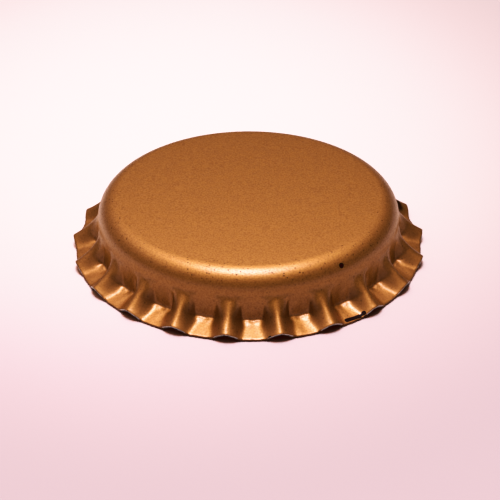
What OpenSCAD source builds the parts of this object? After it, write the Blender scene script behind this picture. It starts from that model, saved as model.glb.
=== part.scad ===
// Crown bottle cap, as supplied: a fluted sheet-steel shell and the sealing liner moulded inside it.
// Millimetres. Z is the cap's axis and the panel is on top. The origin is on the axis, in the plane
// that the rim stands on. A valley between two flutes faces -Y.

/* [Shell] */
// Height from the rim to the crown of the panel
cap_h = 5.9; // [5.8:0.05:6.2]
// Diameter over the tips of the flutes
tip_d = 32.1; // [31.9:0.1:32.4]
// Inside diameter of the wall, which goes over the mouth of the bottle
bore_d = 26.75; // [26.6:0.05:26.9]
// Thickness of the steel sheet
sheet_t = 0.24; // [0.22:0.01:0.28]

/* [Panel] */
// Radius of the panel's shallow dome
dome_r = 160; // [140:5:190]
// Outside radius of the shoulder that joins the panel to the wall
shoulder_r = 1.9; // [1.7:0.1:2.1]

/* [Skirt] */
// Number of flutes round the skirt
flute_count = 21; // [19:2:23]
// Diameter over the rim in the valleys
valley_d = 31.4; // [31.2:0.1:31.6]
// Slope of the apron at the foot of each valley, below the horizontal
apron_angle = 18; // [15:1:21]
// Radius in the crease between the wall and the apron
crease_r = 0.3; // [0.2:0.05:0.4]
// Height of a flute's tip above the rim in the valleys
tip_lift = 0.65; // [0.5:0.05:0.8]
// Slope of a flute's crest, below the horizontal
crest_angle = 37.5; // [36:0.5:39]
// Radius with which a crest leaves the wall
crest_fillet = 0.8; // [0.6:0.1:0.9]
// Part of the pitch that a flute takes at the wall
share_at_wall = 0.58; // [0.5:0.01:0.62]
// Part of the pitch that a flute takes at the rim
share_at_rim = 0.56; // [0.5:0.01:0.6]
// How round a flute is across its crest: a small value makes a sharp fold
crest_roundness = 0.3; // [0.25:0.05:0.6]
// How round a flute is along its feet
foot_roundness = 0.3; // [0.2:0.05:0.4]

/* [Liner] */
// Diameter over the sealing ring
liner_d = 25.5; // [25:0.1:25.6]
// Thickness of the liner's centre
liner_t = 0.3; // [0.2:0.05:0.4]
// Inside diameter of the sealing ring
ring_inner_d = 21.2; // [20.6:0.1:21.6]
// Depth of the sealing ring below the panel's edge
ring_depth = 0.95; // [0.8:0.05:1.1]
// Radius of the small bead inside the sealing ring
bead_r = 0.3; // [0.2:0.05:0.35]
// Distance from the sealing ring to the middle of the bead
bead_gap = 1; // [0.8:0.1:1.2]
// Radius on the sealing ring's two lower edges
ring_edge_r = 0.35; // [0.25:0.05:0.4]

/* [Hidden] */
$fn = 252;
dome_fn = 1440;
shoulder_fn = 96;
edge_fn = 48;

pitch = 360 / flute_count;
wall_r = bore_d / 2 + sheet_t;
tip_r = tip_d / 2;
valley_r = valley_d / 2;

// The dome and the shoulder are tangent where the radius is dome_edge_r.
shoulder_cx = wall_r - shoulder_r;
dome_cz = cap_h - dome_r;
shoulder_cz = dome_cz + sqrt((dome_r - shoulder_r) ^ 2 - shoulder_cx ^ 2);
dome_edge_r = shoulder_cx * dome_r / (dome_r - shoulder_r);

// The sheet's inner edge stands on Z = 0 in the valleys, so its outer edge is a little higher.
valley_z = sheet_t * cos(apron_angle);
tip_z = valley_z + tip_lift;

// The skirt is drawn a hair inside the wall, and the bore then trims both to one diameter.
skirt_inset = 0.01;
skirt_wall_r = wall_r - skirt_inset;

// Centre of the crease between the wall and the apron
crease_cx = skirt_wall_r + crease_r;
crease_cz = valley_z + (valley_r - crease_cx) * tan(apron_angle) + crease_r / cos(apron_angle);

// Centre of the fillet with which a crest leaves the wall
fillet_cx = skirt_wall_r + crest_fillet;
fillet_cz = tip_z + (tip_r - fillet_cx) * tan(crest_angle) + crest_fillet / cos(crest_angle);

// The wall ends a little above the flutes, and the skirt laps into it.
lap = (shoulder_cz - fillet_cz) / 4;
joint_z = fillet_cz + lap;
skirt_top_z = joint_z + lap;
bore_top_z = skirt_top_z + lap;
bore_low_z = crease_cz - crease_r;

// The liner's disc follows the dome, and its ring hangs below the panel's edge.
liner_r = liner_d / 2;
ring_inner_r = ring_inner_d / 2;
ring_low = shoulder_cz + shoulder_r - sheet_t - ring_depth;
disc_low = dome_cz + sqrt((dome_r - sheet_t) ^ 2 - ring_inner_r ^ 2) - liner_t;
liner_top = cap_h - sheet_t;

function polar(centre, radius, angle) = centre + radius * [cos(angle), sin(angle)];
function unit(v) = v / norm(v);

// Paths down a valley and down a flute's crest as [radius, height], from the wall to the rim
valley_path = concat(
    [[skirt_wall_r, fillet_cz]],
    [for (f = [0:0.5:1]) polar([crease_cx, crease_cz], crease_r, 180 + f * (90 - apron_angle))],
    [[valley_r, valley_z]]
);
crest_path = concat(
    [for (f = [0:0.5:1]) polar([fillet_cx, fillet_cz], crest_fillet, 180 + f * (90 - crest_angle))],
    [[tip_r, tip_z]]
);

// Length of a path up to its point i, and the point at part f of its whole length
function path_length(path, i) = i == 0 ? 0 : path_length(path, i - 1) + norm(path[i] - path[i - 1]);
function segment_at(path, d, i = 1) =
    i == len(path) - 1 || path_length(path, i) >= d ? i : segment_at(path, d, i + 1);
function point_at(path, f) =
    let (
        d = f * path_length(path, len(path) - 1),
        i = segment_at(path, d)
    )
    path[i - 1] + (d - path_length(path, i - 1)) * unit(path[i] - path[i - 1]);

// Height of a flute across its width: 1 on its crest (t = 0) and 0 past its feet (t = 1). The flanks
// are straight, with a round crest and round feet.
function flank(t) =
    let (k = crest_roundness)
    1 - (norm([t, k]) - k) / (norm([1, k]) - k);
function bulge(t) =
    let (x = flank(t), k = foot_roundness)
    x > k ? x : x < -k ? 0 : (x + k) ^ 2 / (4 * k);

// A point of the skirt's outer surface. Column c is 0 on a flute's crest, 1 at its foot and 2 in
// the middle of the valley beside it. Row f runs from 0 on the wall to 1 at the rim.
function skirt_surface(flute_angle, c, f) =
    let (
        share = share_at_wall + f * (share_at_rim - share_at_wall),
        across = abs(c) < 1 ? abs(c) * share : share + (abs(c) - 1) * (1 - share),
        valley = point_at(valley_path, f),
        p = valley + bulge(across / share) * (point_at(crest_path, f) - valley),
        a = flute_angle + sign(c) * across * pitch / 2
    )
    [p[0] * cos(a), p[0] * sin(a), p[1]];

// The point of the inner surface that lies square below it
function inner_surface(flute_angle, c, f) =
    let (
        step = 0.01,
        across = skirt_surface(flute_angle, c + step, f) - skirt_surface(flute_angle, c - step, f),
        down = skirt_surface(flute_angle, c, f + step) - skirt_surface(flute_angle, c, f - step)
    )
    skirt_surface(flute_angle, c, f) - sheet_t * unit(cross(down, across));

// Columns and rows at which the skirt has its points
skirt_columns = [-1.36, -1.03, -0.76, -0.5, -0.22, 0, 0.22, 0.5, 0.76, 1.03, 1.36, 2];
skirt_rows = [0, 0.1, 0.21, 0.34, 0.46, 0.505, 0.55, 0.77, 1];

// Closed loop round the sheet's section in one column: down its outer surface and up its inner one
function skirt_loop(flute_angle, c) =
    let (
        lap_rise = [0, 0, skirt_top_z - fillet_cz],
        last = len(skirt_rows) - 1
    )
    concat(
        [skirt_surface(flute_angle, c, 0) + lap_rise],
        [for (f = skirt_rows) skirt_surface(flute_angle, c, f)],
        [for (i = [last:-1:0]) inner_surface(flute_angle, c, skirt_rows[i])],
        [inner_surface(flute_angle, c, 0) + lap_rise]
    );

// The fluted skirt: loops side by side all the way round
module skirt() {
    loops = [
        for (i = [0:flute_count - 1], c = skirt_columns)
            skirt_loop(-90 + (i + 0.5) * pitch, c)
    ];
    m = len(loops[0]);
    total = m * len(loops);
    polyhedron(
        points = [for (loop = loops) each loop],
        faces = [
            for (i = [0:len(loops) - 1], j = [0:m - 1])
                let (
                    a = i * m + j,
                    b = i * m + (j + 1) % m,
                    beside_a = (a + m) % total,
                    beside_b = (b + m) % total
                )
                each [[a, beside_b, b], [a, beside_a, beside_b]]
        ]
    );
}

// Half section of a solid cup with the cap's outer form, or with the form by depth inside it
module cup_section(depth) {
    intersection() {
        translate([0, dome_cz]) circle(r = dome_r - depth, $fn = dome_fn);
        square([dome_edge_r * (dome_r - depth) / dome_r, cap_h]);
    }
    translate([shoulder_cx, shoulder_cz]) circle(r = shoulder_r - depth, $fn = shoulder_fn);
    square([wall_r - depth, shoulder_cz]);
}

// The panel, the shoulder and the top of the wall
module panel() {
    rotate_extrude()
        difference() {
            cup_section(0);
            cup_section(sheet_t);
            square([wall_r, joint_z]);
        }
}

// One drawn shell. The bore trims the inside of the wall, between the flutes too.
module crown_shell() {
    color("#b06a2e")
        difference() {
            union() {
                panel();
                skirt();
            }
            translate([0, 0, bore_low_z])
                cylinder(d = bore_d, h = bore_top_z - bore_low_z);
        }
}

// Half section of the liner, before the shell's inner surface trims it
module liner_blank() {
    difference() {
        translate([0, disc_low]) square([ring_inner_r + ring_edge_r, liner_top - disc_low]);
        translate([0, dome_cz]) circle(r = dome_r - sheet_t - liner_t, $fn = dome_fn);
    }
    for (x = [ring_inner_r + ring_edge_r, liner_r - ring_edge_r])
        translate([x, ring_low + ring_edge_r]) circle(r = ring_edge_r, $fn = edge_fn);
    translate([ring_inner_r + ring_edge_r, ring_low])
        square([liner_r - ring_inner_r - 2 * ring_edge_r, liner_top - ring_low]);
    translate([ring_inner_r, ring_low + ring_edge_r])
        square([liner_r - ring_inner_r, liner_top - ring_low - ring_edge_r]);
    translate([ring_inner_r - bead_gap, disc_low]) circle(r = bead_r, $fn = edge_fn);
}

// Sealing liner, moulded in place, so that it fills the panel up to the shoulder
module sealing_liner() {
    color("#d9dcd8")
        rotate_extrude()
            intersection() {
                cup_section(sheet_t);
                liner_blank();
            }
}

crown_shell();
sealing_liner();
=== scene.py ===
import math

import bpy
import numpy as np
from mathutils import Matrix, Vector


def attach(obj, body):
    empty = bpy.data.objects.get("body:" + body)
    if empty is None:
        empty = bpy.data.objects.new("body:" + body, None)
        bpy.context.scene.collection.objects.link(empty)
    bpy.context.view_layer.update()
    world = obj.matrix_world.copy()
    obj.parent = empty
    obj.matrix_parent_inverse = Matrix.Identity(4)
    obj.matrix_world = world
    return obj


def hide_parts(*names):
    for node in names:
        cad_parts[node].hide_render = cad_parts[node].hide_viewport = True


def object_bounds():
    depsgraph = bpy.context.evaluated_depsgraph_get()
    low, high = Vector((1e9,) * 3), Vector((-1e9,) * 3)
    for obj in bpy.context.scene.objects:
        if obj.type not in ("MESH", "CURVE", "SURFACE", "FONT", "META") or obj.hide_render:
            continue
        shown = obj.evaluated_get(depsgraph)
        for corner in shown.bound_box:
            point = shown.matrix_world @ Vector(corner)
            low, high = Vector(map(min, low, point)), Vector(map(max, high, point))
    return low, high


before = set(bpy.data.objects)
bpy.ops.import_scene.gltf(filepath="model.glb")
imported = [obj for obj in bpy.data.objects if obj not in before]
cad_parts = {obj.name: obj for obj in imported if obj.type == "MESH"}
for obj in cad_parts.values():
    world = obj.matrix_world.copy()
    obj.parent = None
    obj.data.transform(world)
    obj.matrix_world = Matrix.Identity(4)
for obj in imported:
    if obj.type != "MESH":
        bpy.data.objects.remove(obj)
cad_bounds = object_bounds()

MM = 0.001

# ---------------------------------------------------------------------------------------------
# Driving dimensions of the shell, as in the part's source. Lengths are in millimetres.
# ---------------------------------------------------------------------------------------------

# The frame gives the height, and the radius at a flute's tip, because one flute faces +Y.
CAP_H = cad_bounds[1].z / MM
TIP_R = cad_bounds[1].y / MM
BORE_D = 26.75
SHEET_T = 0.24

DOME_R = 160
SHOULDER_R = 1.9

FLUTES = 21
VALLEY_R = 15.7
APRON_ANGLE = math.radians(18)
CREASE_R = 0.3
TIP_LIFT = 0.65
SHARE_AT_WALL = 0.58
SHARE_AT_RIM = 0.56
CREST_ROUNDNESS = 0.3

# ---------------------------------------------------------------------------------------------
# Finer forms, which only the dressed shell has. "Down" is the way down the skirt, from 0 on the
# wall to 1 at the rim, and "across" is 0 on a flute's crest and 1 in the middle of a valley.
# ---------------------------------------------------------------------------------------------

# A crest is a hollow curve: its slope at the tip, its radius and the fillet by the wall
TIP_SLOPE = math.radians(32)
CREST_BOW_R = 8.7
CREST_FILLET_R = 0.9

# Roundness of the feet, extra roundness of crests and feet half way down, and where the feet
# take it up
FOOT_ROUNDNESS = 0.25
CREST_SOFTNESS = 0.3
FOOT_SOFTNESS = 0.6
FEET_SOFTEN = (0.35, 0.6)

# The shallow trough in each valley: its depth, the part of it left at the rim, and both fades
TROUGH = 0.08
TROUGH_AT_RIM = 0.25
TROUGH_STARTS = (0, 0.12)
TROUGH_FADES = (0.6, 1)

# The fill in the corner between wall, apron and flank: its height, its middle and its reach
CORNER_FILL = 0.07
CORNER_ACROSS = (0.78, 0.12)
CORNER_DOWN = (0.58, 0.06)

# The pleat along each foot: its full depth, half its width, its distance from the foot, and its
# ends. Each side of each flute has a part of the full depth, from the least one up.
PLEAT_DEPTH = 0.16
PLEAT_WIDTH = 0.085
PLEAT_SHIFT = 0.04
PLEAT_STARTS = (0.08, 0.33)
PLEAT_FADES = (0.72, 0.52)
PLEAT_LEAST = 0.25
PLEAT_SEED = 11
PLEATS = np.random.default_rng(PLEAT_SEED).uniform(PLEAT_LEAST, 1, 2 * FLUTES)

# Faint dents all over the skirt, and nicks along the rim as a part of the way down. Both are sums
# of waves, with ranges for their turns round the cap and their slant down the skirt. A nick goes
# further in than the rim goes out.
DENT = 0.012
DENT_WAVES = {"seed": 3, "count": 14, "turns": (20, 90), "slant": (-9, 9)}
DENT_STARTS = (0, 0.3)
DENT_FADES = (1.05, 0.85)
RIM_NICK = 0.006
RIM_NICK_TOP = 0.4
RIM_WAVES = {"seed": 5, "count": 24, "turns": (60, 400), "slant": (0, 1)}

# Depths on the cut edge where the broken arris ends, and where the burnished strip ends
EDGE_BREAK = 0.03
EDGE_BURNISH = 0.055

# Columns of the mesh round one flute and its valley. How many more of them there are along the
# feet and on the crest, and how far that reaches.
COLUMNS = 40
COLUMN_SAMPLES = 2001
MORE_AT_FEET = 2.5
FEET_REACH = 0.07
MORE_ON_CREST = 1.2
CREST_REACH = 0.12

# Rows of the mesh: stretches of the skirt with their number of rows, closest in the crease. The
# dome's first row is a small angle off the axis.
SKIRT_STRETCHES = [(0, 0.2, 11), (0.2, 0.52, 10), (0.52, 0.66, 11), (0.66, 0.99, 9)]
DOME_ROWS = 6
SHOULDER_ROWS = 20
POLE_ANGLE = 0.002

# ---------------------------------------------------------------------------------------------
# The section of the sheet
# ---------------------------------------------------------------------------------------------


def arc(centre, radius, start, end, count):
    """Points on a circle, as rows of radius and height, from one angle to another."""
    a = np.linspace(start, end, count)
    return np.stack([centre[0] + radius * np.cos(a), centre[1] + radius * np.sin(a)], axis=1)


PITCH = 2 * math.pi / FLUTES
FIRST_FLUTE = -math.pi / 2 + PITCH / 2
STRAIGHT_UP = math.pi / 2
STRAIGHT_DOWN = 1.5 * math.pi

# The dome and the shoulder are tangent where the dome's normal leans by DOME_EDGE.
WALL_R = BORE_D / 2 + SHEET_T
SHOULDER_CX = WALL_R - SHOULDER_R
DOME_CZ = CAP_H - DOME_R
SHOULDER_CZ = DOME_CZ + math.sqrt((DOME_R - SHOULDER_R) ** 2 - SHOULDER_CX ** 2)
DOME_EDGE = math.asin(SHOULDER_CX / (DOME_R - SHOULDER_R))

# The sheet's inner edge stands on Z = 0 in the valleys, so its outer edge is a little higher.
VALLEY_Z = SHEET_T * math.cos(APRON_ANGLE)
TIP_Z = VALLEY_Z + TIP_LIFT
CREASE_CX = WALL_R + CREASE_R
CREASE_CZ = VALLEY_Z + (VALLEY_R - CREASE_CX) * math.tan(APRON_ANGLE) + CREASE_R / math.cos(APRON_ANGLE)

# The crest's curve and its fillet are tangent where the slope is TOP_SLOPE.
BOW_CX = TIP_R + CREST_BOW_R * math.sin(TIP_SLOPE)
BOW_CZ = TIP_Z + CREST_BOW_R * math.cos(TIP_SLOPE)
TOP_SLOPE = math.asin((BOW_CX - CREST_FILLET_R - WALL_R) / (CREST_BOW_R - CREST_FILLET_R))
FILLET_CX = WALL_R + CREST_FILLET_R
FILLET_CZ = BOW_CZ - (CREST_BOW_R - CREST_FILLET_R) * math.cos(TOP_SLOPE)

# Paths down a valley and down a crest, from the wall to the rim
VALLEY_PATH = np.concatenate([
    [(WALL_R, FILLET_CZ)],
    arc((CREASE_CX, CREASE_CZ), CREASE_R, math.pi, STRAIGHT_DOWN - APRON_ANGLE, 12),
    [(VALLEY_R, VALLEY_Z)],
])
CREST_PATH = np.concatenate([
    arc((FILLET_CX, FILLET_CZ), CREST_FILLET_R, math.pi, STRAIGHT_DOWN - TOP_SLOPE, 12),
    arc((BOW_CX, BOW_CZ), CREST_BOW_R, STRAIGHT_DOWN - TOP_SLOPE, STRAIGHT_DOWN - TIP_SLOPE, 24)[1:],
])


def cup_section(depth):
    """The dome and the shoulder, from near the axis outwards, at a depth below the outer surface."""
    edge = STRAIGHT_UP - DOME_EDGE
    dome = arc((0, DOME_CZ), DOME_R - depth, STRAIGHT_UP - POLE_ANGLE, edge, DOME_ROWS)
    shoulder = arc((SHOULDER_CX, SHOULDER_CZ), SHOULDER_R - depth, edge, 0, SHOULDER_ROWS)
    return np.concatenate([dome, shoulder[1:]])


# ---------------------------------------------------------------------------------------------
# The skirt's surface
# ---------------------------------------------------------------------------------------------


def along(path, f):
    """The points at parts f of a path's length, also a little before its start and past its end."""
    steps = np.linalg.norm(np.diff(path, axis=0), axis=1)
    at = np.concatenate([[0], np.cumsum(steps)]) / steps.sum()
    slope_in = (path[1] - path[0]) / at[1]
    slope_out = (path[-1] - path[-2]) / (1 - at[-2])
    f = np.asarray(f, dtype=float)
    inside = np.stack([np.interp(f, at, path[:, k]) for k in (0, 1)], axis=-1)
    before = np.minimum(f, 0)[..., None] * slope_in
    past = np.maximum(f - 1, 0)[..., None] * slope_out
    return inside + before + past


def smooth_step(x, start, end):
    """A soft step from 0 at start to 1 at end."""
    x = np.clip((x - start) / (end - start), 0, 1)
    return x * x * (3 - 2 * x)


def bell(x, centre, width):
    """A soft hump, 1 at its centre."""
    return np.exp(-((x - centre) / width) ** 2)


def waves(angle, down, seed, count, turns, slant):
    """A soft irregular field of about unit height, the same on every run."""
    rng = np.random.default_rng(seed)
    total = 0
    for _ in range(count):
        round_cap = rng.integers(*turns)
        down_skirt = rng.uniform(*slant)
        phase = rng.uniform(0, 2 * math.pi)
        total = total + np.cos(round_cap * angle + down_skirt * down + phase)
    return total / math.sqrt(count / 2)


def bulge(t, crest_round, foot_round):
    """Height of a flute across its width: 1 on its crest and 0 past its feet, which are at t = 1."""
    x = 1 - (np.hypot(t, crest_round) - crest_round) / (np.hypot(1, crest_round) - crest_round)
    soft = (x + foot_round) ** 2 / (4 * foot_round)
    return np.where(x > foot_round, x, np.where(x < -foot_round, 0, soft))


def trough(across, down, share):
    """Depth of the trough in a valley, which runs out up the flanks beside it."""
    t = across / share
    in_valley = ((1 - across) / (1 - share)) ** 2
    up_flank = t ** 2 * (1 + (2 + 2 * share / (1 - share)) * (1 - t))
    depth = 1 - (1 - TROUGH_AT_RIM) * smooth_step(down, *TROUGH_FADES)
    depth = TROUGH * smooth_step(down, *TROUGH_STARTS) * depth
    return depth * np.where(across > share, in_valley, up_flank)


def pleat(side, across, down, share):
    """Depth of the pleat beside a flute, which runs down the wall along the foot."""
    line = PLEATS[side] * bell(across - share, -PLEAT_SHIFT, PLEAT_WIDTH)
    return PLEAT_DEPTH * line * smooth_step(down, *PLEAT_STARTS) * smooth_step(down, *PLEAT_FADES)


def corner_fill(across, down):
    """Height of the fill in the corner between wall, apron and flank."""
    return CORNER_FILL * bell(across, *CORNER_ACROSS) * bell(down, *CORNER_DOWN)


def dents(angle, down):
    """Height of the faint dents, which leave the wall and the rim in their places."""
    calm = smooth_step(down, *DENT_STARTS) * smooth_step(down, *DENT_FADES)
    return DENT * waves(angle, down, **DENT_WAVES) * calm


def skirt_surface(angle, down):
    """Points of the skirt's outer surface, at angles round the cap and parts of the way down."""
    turns = (angle - FIRST_FLUTE) / PITCH
    flute = np.round(turns)
    offset = 2 * (turns - flute)
    across = np.abs(offset)
    side = 2 * (flute.astype(int) % FLUTES) + (offset > 0)
    share = SHARE_AT_WALL + down * (SHARE_AT_RIM - SHARE_AT_WALL)

    up = np.clip(1 - down, 0, 1)
    crest_round = CREST_ROUNDNESS + CREST_SOFTNESS * np.sin(math.pi * up)
    foot_round = FOOT_ROUNDNESS + FOOT_SOFTNESS * up * smooth_step(down, *FEET_SOFTEN)
    valley = along(VALLEY_PATH, down)
    crest = along(CREST_PATH, down)
    p = valley + bulge(across / share, crest_round, foot_round)[..., None] * (crest - valley)

    # The finer forms stand square on the valley's path.
    relief = trough(across, down, share) + corner_fill(across, down)
    relief = relief - pleat(side, across, down, share) + dents(angle, down)
    step = 0.01
    slope = along(VALLEY_PATH, down + step) - along(VALLEY_PATH, down - step)
    slope /= np.linalg.norm(slope, axis=-1, keepdims=True)
    p = p + relief[..., None] * np.stack([-slope[..., 1], slope[..., 0]], axis=-1)
    return np.stack([p[..., 0] * np.cos(angle), p[..., 0] * np.sin(angle), p[..., 1]], axis=-1)


def skirt_normal(angle, down):
    """Outward normals of the same surface."""
    step = 0.002
    sideways = skirt_surface(angle + step, down) - skirt_surface(angle - step, down)
    downward = skirt_surface(angle, down + step) - skirt_surface(angle, down - step)
    n = np.cross(downward, sideways)
    return n / np.linalg.norm(n, axis=-1, keepdims=True)


# ---------------------------------------------------------------------------------------------
# The shell's mesh
# ---------------------------------------------------------------------------------------------


def link(name, data):
    """A new object in the scene."""
    obj = bpy.data.objects.new(name, data)
    bpy.context.scene.collection.objects.link(obj)
    return obj


def revolved(section, angles):
    """Rows of points: a section of radius and height turned to every angle."""
    return np.stack([
        section[:, :1] * np.cos(angles),
        section[:, :1] * np.sin(angles),
        np.broadcast_to(section[:, 1:], (len(section), len(angles))),
    ], axis=-1)


def grid_object(name, rows, top, bottom):
    """A closed mesh from rings of points, row by row, with a pole at each end."""
    count, width = rows.shape[:2]
    points = np.concatenate([rows.reshape(-1, 3), [top, bottom]]) * MM
    top_pole = count * width
    bottom_pole = top_pole + 1
    col = np.arange(width)
    beside = (col + 1) % width
    row = (np.arange(count - 1) * width)[:, None]
    quads = np.stack([row + col, row + width + col, row + width + beside, row + beside], axis=-1)
    last = top_pole - width
    faces = quads.reshape(-1, 4).tolist()
    faces += [(top_pole, int(a), int(b)) for a, b in zip(col, beside)]
    faces += [(bottom_pole, int(last + b), int(last + a)) for a, b in zip(col, beside)]
    mesh = bpy.data.meshes.new(name)
    mesh.from_pydata(points.tolist(), [], faces)
    mesh.polygons.foreach_set("use_smooth", [True] * len(faces))
    mesh.update()
    return link(name, mesh)


def column_angles():
    """Angles of the mesh's columns, closer together on the crests and along the feet."""
    u = np.linspace(-1, 1, COLUMN_SAMPLES)
    foot = (SHARE_AT_WALL + SHARE_AT_RIM) / 2
    at_feet = MORE_AT_FEET * bell(np.abs(u), foot, FEET_REACH)
    density = 1 + at_feet + MORE_ON_CREST * bell(u, 0, CREST_REACH)
    total = np.concatenate([[0], np.cumsum((density[1:] + density[:-1]) / 2)])
    one = np.interp(np.arange(COLUMNS) / COLUMNS * total[-1], total, u)
    return np.concatenate([FIRST_FLUTE + (i + one / 2) * PITCH for i in range(FLUTES)])


def skirt_rows():
    """Parts of the way down at which the skirt's outer surface has its rows."""
    stretches = [np.linspace(start, end, count + 1)[1:] for start, end, count in SKIRT_STRETCHES]
    return np.concatenate([[0], *stretches])


def rim_edge(angles):
    """Rings across the cut edge, from its outer arris to its inner one."""
    nicks = np.minimum(waves(angles, 0, **RIM_WAVES), RIM_NICK_TOP)
    rim = 1 + RIM_NICK * nicks
    outer = skirt_surface(angles, rim)
    inward = -skirt_normal(angles, rim)
    return [outer + depth * inward for depth in (EDGE_BREAK, EDGE_BURNISH, SHEET_T - EDGE_BREAK)]


def build_shell():
    """The drawn sheet: dome, shoulder, wall and fluted skirt, outside and inside."""
    angles = column_angles()
    outer_rows = skirt_rows()
    down, angle = np.meshgrid(outer_rows, angles, indexing="ij")
    outer = skirt_surface(angle, down)
    down, angle = np.meshgrid(outer_rows[::-2], angles, indexing="ij")
    inner = skirt_surface(angle, down) - SHEET_T * skirt_normal(angle, down)
    rows = np.concatenate([
        revolved(cup_section(0), angles),
        outer,
        rim_edge(angles),
        inner,
        revolved(cup_section(SHEET_T)[::-2], angles),
    ])
    shell = grid_object("shell_sheet", rows, (0, 0, CAP_H), (0, 0, CAP_H - SHEET_T))

    # From the outer surface inwards, the cut edge is two rings of faces burnished and two broken.
    # The bright burnished strip is partly painted light, where the lip catches the lamp, and the dark
    # broken part is partly painted shade.
    width = len(angles)
    edge = (len(cup_section(0)) + len(outer_rows) - 1) * width
    slots = np.zeros(len(shell.data.polygons), dtype=int)
    slots[edge:edge + 2 * width] = 1
    slots[edge + 2 * width:edge + 4 * width] = 2
    shell.data.materials.append(lacquer_material())
    shell.data.materials.append(edge_material("burnished_lit_edge", STEEL_BRIGHT))
    shell.data.materials.append(edge_material("broken_shaded_edge", STEEL_DULL_AND_SHADED))
    shell.data.polygons.foreach_set("material_index", slots)
    return shell


# ---------------------------------------------------------------------------------------------
# Shader nodes
# ---------------------------------------------------------------------------------------------


class Nodes:
    """Short names for the nodes of a material or a world."""

    def __init__(self, tree):
        self.nodes = tree.nodes
        self.links = tree.links

    def feed(self, socket, value):
        """Link another node's output to a socket, or set it to a constant."""
        if isinstance(value, bpy.types.NodeSocket):
            self.links.new(value, socket)
        else:
            socket.default_value = value

    def math(self, operation, *values, clamp=False):
        node = self.nodes.new("ShaderNodeMath")
        node.operation = operation
        node.use_clamp = clamp
        for socket, value in zip(node.inputs, values):
            self.feed(socket, value)
        return node.outputs["Value"]

    def product(self, *values):
        total = values[0]
        for value in values[1:]:
            total = self.math("MULTIPLY", total, value)
        return total

    def vector(self, operation, *values):
        node = self.nodes.new("ShaderNodeVectorMath")
        node.operation = operation
        for socket, value in zip(node.inputs, values):
            self.feed(socket, value)
        return node.outputs["Value" if operation in ("DOT_PRODUCT", "LENGTH") else "Vector"]

    def scale(self, vector, factor):
        node = self.nodes.new("ShaderNodeVectorMath")
        node.operation = "SCALE"
        self.feed(node.inputs[0], vector)
        self.feed(node.inputs["Scale"], factor)
        return node.outputs["Vector"]


class Shader(Nodes):
    """A material with a Principled surface. Its lengths are in millimetres, in object space."""

    def __init__(self, name):
        self.material = bpy.data.materials.new(name)
        self.material.use_nodes = True
        super().__init__(self.material.node_tree)
        self.place = self.scale(self.nodes.new("ShaderNodeTexCoord").outputs["Object"], 1 / MM)

    def surface(self, sockets):
        """Feed the surface's sockets, which are given by name."""
        for name, value in sockets.items():
            self.feed(self.nodes["Principled BSDF"].inputs[name], value)

    def axis(self, name):
        node = self.nodes.new("ShaderNodeSeparateXYZ")
        self.links.new(self.place, node.inputs[0])
        return node.outputs[name]

    def noise(self, size, detail=2, rough=0.5):
        node = self.nodes.new("ShaderNodeTexNoise")
        self.links.new(self.place, node.inputs["Vector"])
        node.inputs["Scale"].default_value = 1 / size
        node.inputs["Detail"].default_value = detail
        node.inputs["Roughness"].default_value = rough
        return node.outputs["Fac"]

    def ramp(self, value, low, high, to_low=0, to_high=1):
        """A soft step from to_low, where the value is low, to to_high."""
        node = self.nodes.new("ShaderNodeMapRange")
        node.interpolation_type = "SMOOTHSTEP"
        node.inputs["From Min"].default_value = low
        node.inputs["From Max"].default_value = high
        node.inputs["To Min"].default_value = to_low
        node.inputs["To Max"].default_value = to_high
        self.feed(node.inputs["Value"], value)
        return node.outputs["Result"]

    def spread(self, noise, to_low=0, to_high=1):
        """A noise's usual values, spread from to_low to to_high."""
        return self.ramp(noise, 0.3, 0.7, to_low, to_high)

    def mix(self, factor, a, b):
        node = self.nodes.new("ShaderNodeMix")
        node.data_type = "RGBA"
        self.feed(node.inputs[0], factor)
        self.feed(node.inputs[6], a if isinstance(a, bpy.types.NodeSocket) else (*a, 1))
        self.feed(node.inputs[7], b if isinstance(b, bpy.types.NodeSocket) else (*b, 1))
        return node.outputs[2]

    def bump(self, height, distance):
        node = self.nodes.new("ShaderNodeBump")
        node.inputs["Distance"].default_value = distance * MM
        self.links.new(height, node.inputs["Height"])
        return node.outputs["Normal"]

    def capsule(self, start, end, radius, softness):
        """1 inside a round-ended bar and 0 outside it."""
        bar = Vector(end) - Vector(start)
        from_start = self.vector("SUBTRACT", self.place, start)
        # The two ends of a dot are one place, so its bar has no length.
        part = self.vector("DOT_PRODUCT", from_start, bar / (bar.length_squared or 1))
        part = self.math("MULTIPLY", part, 1.0, clamp=True)
        from_bar = self.vector("SUBTRACT", from_start, self.scale(bar, part))
        distance = self.vector("LENGTH", from_bar)
        return self.ramp(distance, radius * (1 + softness), radius * (1 - softness))


# ---------------------------------------------------------------------------------------------
# Materials
# ---------------------------------------------------------------------------------------------

# Marks on the lacquer, where the photo has them: the middles of a bar's two round ends, its
# radius and how soft its outline is
MARKS_AND_SHADE = {
    "dot on the shoulder": ((7.79, -10.81, 4.58), (7.79, -10.81, 4.58), 0.24, 0.1),
    "bar on the right apron": ((8.21, -13.03, 0.39), (9.36, -12.36, 0.38), 0.21, 0.1),
    "link to the blob": ((9.36, -12.36, 0.34), (9.7, -12.12, 0.38), 0.15, 0.2),
    "blob by the bar": ((9.68, -12.14, 0.47), (9.74, -12.1, 0.48), 0.2, 0.1),
    "speck by the front flute": ((1.36, -15.72, 0.5), (1.5, -15.7, 0.5), 0.12, 0.1),
    # The soft patch on the rear right flute is painted shade, not a mark on the lacquer.
    "painted shade on the rear right flute": ((14.0, 5.3, 1.5), (14.2, 4.9, 1.1), 0.28, 0.9),
}
# Black for the dark spots, and for the painted shade on the rear right flute
MARK_AND_SHADE_BLACK = (0.008, 0.006, 0.005)

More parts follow.
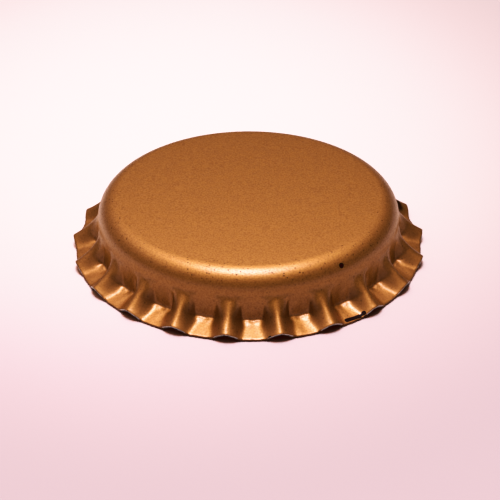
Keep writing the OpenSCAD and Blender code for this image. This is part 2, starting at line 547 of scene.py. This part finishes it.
# Pinholes: the size of the cells that have one each at most, how much of a cell one takes, the
# chance of one and how dark it is. They lie in patches, with fewer between them, and fewer on
# the panel and the wall. They are thickest in a crowd along the front of the shoulder.
PINHOLE_CELL = 0.32
PINHOLE_OUTLINE = (0.31, 0.15)
PINHOLE_CHANCE = (0.48, 0.74)
PINHOLE_DARKNESS = 0.75
PATCH_SIZE = 2.4
PATCH_OUTLINE = (0.35, 0.6)
PINHOLES_BETWEEN = 0.4
PANEL_STARTS = (5.4, 5.55)
PINHOLES_ON_PANEL = 0.12
WALL_STARTS = (4.9, 4.3)
PINHOLES_ON_WALL = 0.5
CROWD = ((-5.2, -11.9, 5.0), (3.5, -12.5, 5.0), 1.1, 0.4)
CROWD_CHANCE = 0.35


def pinholes(n):
    """Pinholes in the lacquer: a dark speck in a few cells, in loose patches."""
    cells = n.nodes.new("ShaderNodeTexVoronoi")
    cells.inputs["Scale"].default_value = 1 / PINHOLE_CELL
    n.links.new(n.place, cells.inputs["Vector"])
    speck = n.ramp(cells.outputs["Distance"], *PINHOLE_OUTLINE)
    crowd = n.capsule(*CROWD)
    random = n.vector("DOT_PRODUCT", cells.outputs["Color"], (1, 0, 0))
    chosen = n.ramp(n.math("MULTIPLY_ADD", crowd, CROWD_CHANCE, random), *PINHOLE_CHANCE)
    patches = n.ramp(n.noise(PATCH_SIZE), *PATCH_OUTLINE, PINHOLES_BETWEEN, 1)
    by_panel = n.ramp(n.axis("Z"), *PANEL_STARTS, 1, PINHOLES_ON_PANEL)
    by_wall = n.ramp(n.axis("Z"), *WALL_STARTS, 1, PINHOLES_ON_WALL)
    by_place = n.math("MINIMUM", by_panel, by_wall)
    return n.product(speck, chosen, n.math("MAXIMUM", patches, crowd), by_place)


LACQUER = (0.372, 0.186, 0.0125)
LACQUER_DARK = (0.352, 0.172, 0.0112)
# The colour of the painted shade on the flanks and the cap's two sides
LACQUER_SHADED = (0.2, 0.1, 0.02)
# Darker lacquer for the grain's lows, and for the cut edge low down, where it is partly painted contact
# shade
LACQUER_LOWS_AND_EDGE_SHADE = (0.16, 0.075, 0.02)

# Sizes of the lacquer's mottle, grain and unevenness of gloss, and the depths of its bumps. The
# grain's lows are darker and carry less gloss.
MOTTLE = 0.55
GRAIN = 0.15
GRAIN_DARK = 0.45
GRAIN_LOWS = (0.62, 0.3)
GRAIN_GLOSS = (0.36, 0.64)
GLOSS_SIZE = 0.5
SKIN_BUMP = 0.012
COAT_BUMP = 0.009

# A flank is a face that leans this much sideways. The cap's two sides start at a distance from
# its middle and at a height. Both get painted shade, with less gloss, and the shade shows in the
# colour this much.
FLANK_LEAN = (0.3, 0.75)
SIDES_START = (9, 14.5)
SIDES_TOP = (4.4, 3.2)
SIDES_SHADE = 0.5
SHADE_IN_COLOUR = 0.7

# Parts of the coat's gloss that are left on upright faces, under the painted shade and in the grain's
# lows
UPRIGHT = (0.4, 0.05)
GLOSS_ON_UPRIGHT = 0.58
GLOSS_IN_SHADE = 0.55
GLOSS_IN_GRAIN = 0.58


def marks_and_shade(n):
    """The dark spots on the lacquer and the painted shade on the rear right flute, together."""
    total = 0.0
    for mark in MARKS_AND_SHADE.values():
        total = n.math("MAXIMUM", total, n.capsule(*mark))
    return total


def painted_shade_mask(n, normal):
    """Painted shade: 1 on the drawn flanks of the flutes, and less on the flutes at the cap's two
    sides.
    """
    tangent = n.vector("NORMALIZE", n.vector("CROSS_PRODUCT", (0, 0, 1), n.place))
    flank = n.ramp(n.math("ABSOLUTE", n.vector("DOT_PRODUCT", tangent, normal)), *FLANK_LEAN)
    beside = n.ramp(n.math("ABSOLUTE", n.axis("X")), *SIDES_START)
    low = n.ramp(n.axis("Z"), *SIDES_TOP)
    return n.math("MAXIMUM", flank, n.product(beside, low, SIDES_SHADE))


def lacquer_material():
    """Satin orange-gold lacquer over steel sheet, with pinholes, dark spots and a fine grain, and
    painted shade on the flanks, the cap's two sides and the rear right flute.
    """
    n = Shader("gold_lacquer")
    normal = n.nodes.new("ShaderNodeNewGeometry").outputs["Normal"]
    grain = n.noise(GRAIN, 2, 0.6)
    painted_shade = painted_shade_mask(n, normal)
    # Dark spots and pinholes, with the painted shade on the rear right flute
    dark_spots_and_shade = n.math("MAXIMUM", marks_and_shade(n), n.product(pinholes(n), PINHOLE_DARKNESS))

    colour = n.mix(n.spread(n.noise(MOTTLE)), LACQUER_DARK, LACQUER)
    colour = n.mix(n.ramp(grain, *GRAIN_LOWS, 0, GRAIN_DARK), colour, LACQUER_LOWS_AND_EDGE_SHADE)
    # Painted shade on the flanks and the cap's two sides
    colour = n.mix(n.product(painted_shade, SHADE_IN_COLOUR), colour, LACQUER_SHADED)

    facing_up = n.vector("DOT_PRODUCT", normal, (0, 0, 1))
    gloss = n.product(
        n.ramp(facing_up, *UPRIGHT, 1, GLOSS_ON_UPRIGHT),
        n.ramp(painted_shade, 0, 1, 1, GLOSS_IN_SHADE),
        n.ramp(grain, *GRAIN_GLOSS, GLOSS_IN_GRAIN, 1),
        n.math("SUBTRACT", 1.0, dark_spots_and_shade),
    )
    n.surface({
        "Base Color": n.mix(dark_spots_and_shade, colour, MARK_AND_SHADE_BLACK),
        "Metallic": 1,
        "Roughness": n.ramp(n.noise(GLOSS_SIZE), 0.25, 0.75, 0.54, 0.58),
        "Normal": n.bump(n.math("SUBTRACT", grain, dark_spots_and_shade), SKIN_BUMP),
        "Coat Weight": gloss,
        "Coat Roughness": 0.35,
        "Coat IOR": 1.68,
        "Coat Normal": n.bump(grain, COAT_BUMP),
        "Specular Tint": (0.72, 0.55, 0.31, 1),
    })
    return n.material


# Steel for the burnished strip, partly painted light, and for the broken rest, partly painted shade
STEEL_BRIGHT = (0.44, 0.42, 0.36)
STEEL_DULL_AND_SHADED = (0.13, 0.12, 0.1)

# Size of the grime noise on the cut edge, the height above which the steel shows and how far
# that varies. Lower down the edge is dark, partly lacquer and dirt, partly painted contact shade.
GRIME = 0.35
BARE_ABOVE = (0.3, 0.45)
BARE_VARIES = 0.12


def edge_material(name, steel):
    """The cut edge: steel high on the flutes' arches, and dark low down in the valleys, partly lacquer
    and dirt and partly painted contact shade.
    """
    n = Shader(name)
    grime = n.noise(GRIME, 3, 0.6)
    height = n.math("ADD", n.axis("Z"), n.spread(grime, -BARE_VARIES, BARE_VARIES))
    n.surface({
        "Base Color": n.mix(n.ramp(height, *BARE_ABOVE), LACQUER_LOWS_AND_EDGE_SHADE, steel),
        "Metallic": 1,
        "Roughness": n.spread(grime, 0.35, 0.6),
    })
    return n.material


LINER_PALE = (0.69, 0.7, 0.67)
LINER_DULL = (0.65, 0.655, 0.62)

# Sizes of the liner's mottle, its unevenness of gloss and its orange peel, and the peel's depth
LINER_MOTTLE = 1.8
LINER_GLOSS_SIZE = 0.6
LINER_PEEL = 0.3
LINER_BUMP = 0.008


def liner_material():
    """Off-white sealing compound, faintly mottled, with a fine orange-peel skin."""
    n = Shader("liner_compound")
    n.surface({
        "Base Color": n.mix(n.spread(n.noise(LINER_MOTTLE, 3)), LINER_DULL, LINER_PALE),
        "Roughness": n.spread(n.noise(LINER_GLOSS_SIZE, 3), 0.38, 0.54),
        "Normal": n.bump(n.noise(LINER_PEEL, 3), LINER_BUMP),
    })
    return n.material


# ---------------------------------------------------------------------------------------------
# Floor
# ---------------------------------------------------------------------------------------------

# Half the card's side in metres, its colours at the back and at the front, and the places on Y
# between which the one gives way to the other
FLOOR_HALF = 1.5
FLOOR_BACK = (1, 1, 0.87)
FLOOR_FRONT = (1, 0.94, 0.88)
FLOOR_FADE = (10, -25)

# A painted pool of light: the card is brightest at one place, behind the cap. The shape of the
# glow round it, its reach and its strengths
GLOW_CENTRE = (-7.5, 22, 0)
GLOW_SHAPE = (1.6, 1.3, 0)
GLOW_REACH = 80
GLOW_MIDDLE = 0.97
GLOW_FAR = 0.43
BLACK = (0, 0, 0)

# Painted warm shadow on the card under the rim, and a little further out under the flutes, in
# the colour of light bounced off the lacquer: the radius in the valleys, how much larger it is at
# the flutes and how soft its outline is
FLOOR_WARM_SHADOW = (0.9, 0.5, 0.28)
TINT_R = 15.8
TINT_AT_FLUTES = 0.33
TINT_FLUTE = (0, 0.8)
TINT_EDGE = 0.35

# Size and depth of the card's tooth
FLOOR_TOOTH = 0.4
FLOOR_BUMP = 0.01


def floor_material():
    """White card with a painted pool of light, a painted warm shadow under the rim and a fine tooth."""
    n = Shader("floor_card")
    card = n.mix(n.ramp(n.axis("Y"), *FLOOR_FADE), FLOOR_BACK, FLOOR_FRONT)
    # Painted warm shadow under the rim, reaching further out under the flutes
    turn = n.math("SUBTRACT", n.math("ARCTAN2", n.axis("Y"), n.axis("X")), FIRST_FLUTE)
    flutes = n.math("COSINE", n.product(turn, FLUTES))
    reach = n.math("ADD", n.ramp(flutes, *TINT_FLUTE, 0, TINT_AT_FLUTES), TINT_R)
    past = n.math("SUBTRACT", n.vector("LENGTH", n.place), reach)
    card = n.mix(n.ramp(past, 0, -TINT_EDGE), card, FLOOR_WARM_SHADOW)
    # Painted pool of light behind the cap
    from_glow = n.vector("MULTIPLY", n.vector("SUBTRACT", n.place, GLOW_CENTRE), GLOW_SHAPE)
    glow = n.ramp(n.vector("LENGTH", from_glow), 0, GLOW_REACH, GLOW_MIDDLE, GLOW_FAR)
    n.surface({
        "Base Color": n.mix(glow, BLACK, card),
        "Roughness": 0.6,
        "Normal": n.bump(n.noise(FLOOR_TOOTH, 3), FLOOR_BUMP),
    })
    return n.material


def build_floor():
    """A large card on Z = 0."""
    corners = [(x * FLOOR_HALF, y * FLOOR_HALF, 0) for x, y in ((-1, -1), (1, -1), (1, 1), (-1, 1))]
    mesh = bpy.data.meshes.new("floor")
    mesh.from_pydata(corners, [], [(0, 1, 2, 3)])
    mesh.materials.append(floor_material())
    floor = link("floor", mesh)


# ---------------------------------------------------------------------------------------------
# Light and camera
# ---------------------------------------------------------------------------------------------

# Broad soft lights: elevation and heading of the middle in degrees, sharpness and strength. A
# heading of 0 is behind the camera and 90 is on its right.
SOFT_LIGHTS = [
    (77, 215, 7, 2.45),
    (40, 225, 3, 0.12),
]
AMBIENT = 0.045
LIGHT_TINT = (1, 0.7, 0.74, 1)

# The lamp over the set: its diameter and place in metres, and its power in watts
LAMP_D = 0.4
LAMP_PLACE = (-0.02, -0.03, 1.0)
LAMP_W = 12.5
LAMP_TINT = (1, 0.74, 0.9)

# The camera's contrast, as values in and out: darks a little deeper, and the brightest parts
# held back. The curves share their dark end, and red starts a little above black.
TONE = [(0.03, 0.021), (0.06, 0.046), (0.1, 0.084), (0.16, 0.156)]
TONE_RED = [(0.3, 0.325), (0.5, 0.55), (0.7, 0.74), (0.86, 0.88), (1.0, 0.95), (1.3, 0.99)]
TONE_OTHERS = [
    (0.28, 0.305), (0.5, 0.555), (0.7, 0.73), (0.86, 0.84), (1.0, 0.895), (1.3, 0.945), (2, 0.98),
]
TONE_END = (4, 1)
RED_BLACK = (0, 0.013)

# The photo's camera, in millimetres and radians, with clip distances in metres. It stands in
# front of the valley that faces -Y, turned a little round the cap, and looks at the cap's foot.
CAMERA_TURN = 0.02409
CAMERA_DISTANCE = 222.06
CAMERA_ELEVATION = 0.54488
CAMERA_TARGET = (0.1291, 0, -0.2743)
CAMERA_ROLL = -0.00234
CAMERA_LENS = 175.0
CAMERA_SENSOR = 36
CAMERA_CLIP = (0.01, 10)


def build_world():
    """A world of broad soft lights, as round a small tent or softbox."""
    world = bpy.data.worlds.new("studio")
    world.use_nodes = True
    n = Nodes(world.node_tree)
    direction = n.nodes.new("ShaderNodeTexCoord").outputs["Generated"]
    total = AMBIENT
    for elevation, heading, sharpness, strength in SOFT_LIGHTS:
        e = math.radians(elevation)
        h = math.radians(heading)
        middle = (math.cos(e) * math.sin(h), -math.cos(e) * math.cos(h), math.sin(e))
        facing = n.vector("DOT_PRODUCT", direction, middle)
        lobe = n.math("EXPONENT", n.math("MULTIPLY_ADD", facing, sharpness, -sharpness))
        total = n.math("MULTIPLY_ADD", lobe, strength, total)
    n.feed(n.nodes["Background"].inputs["Color"], LIGHT_TINT)
    n.feed(n.nodes["Background"].inputs["Strength"], total)
    bpy.context.scene.world = world


def build_lamp():
    """A round softbox over the set, which faces the cap."""
    lamp = bpy.data.lights.new("lamp", "AREA")
    lamp.shape = "DISK"
    lamp.size = LAMP_D
    lamp.energy = LAMP_W
    lamp.color = LAMP_TINT
    obj = link("lamp", lamp)
    obj.location = LAMP_PLACE
    obj.rotation_euler = Vector(LAMP_PLACE).to_track_quat("Z", "Y").to_euler()


def set_tone():
    """Give each channel its tone curve."""
    view = bpy.context.scene.view_settings
    view.view_transform = "Standard"
    view.use_curve_mapping = True
    curves = view.curve_mapping.curves
    view.curve_mapping.clip_max_x = TONE_END[0]
    curves[0].points[0].location = RED_BLACK
    for channel, brights in enumerate((TONE_RED, TONE_OTHERS, TONE_OTHERS)):
        curves[channel].points[1].location = TONE_END
        for x, y in TONE + brights:
            curves[channel].points.new(x, y)
    view.curve_mapping.update()


def build_camera():
    """The photo's camera."""
    cam = link("camera", bpy.data.cameras.new("camera"))
    turn = Matrix.Rotation(-CAMERA_TURN, 3, "Z")
    back = -CAMERA_DISTANCE * math.cos(CAMERA_ELEVATION)
    rise = CAMERA_DISTANCE * math.sin(CAMERA_ELEVATION)
    place = turn @ Vector((0, back, rise))
    look = (turn @ Vector(CAMERA_TARGET) - place).normalized()
    right = look.cross(Vector((0, 0, 1))).normalized()
    up = right.cross(look)
    axes = Matrix((right, up, -look)).transposed() @ Matrix.Rotation(CAMERA_ROLL, 3, "Z")
    cam.matrix_world = Matrix.Translation(place * MM) @ axes.to_4x4()
    cam.data.lens = CAMERA_LENS
    cam.data.sensor_width = CAMERA_SENSOR
    cam.data.clip_start, cam.data.clip_end = CAMERA_CLIP
    bpy.context.scene.camera = cam


# ---------------------------------------------------------------------------------------------
# Assembly
# ---------------------------------------------------------------------------------------------

build_camera()
build_floor()
build_world()
build_lamp()
set_tone()

shell = build_shell()
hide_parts("crown_shell")
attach(shell, "root")

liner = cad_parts["sealing_liner"]
liner.data.materials.clear()
liner.data.materials.append(liner_material())
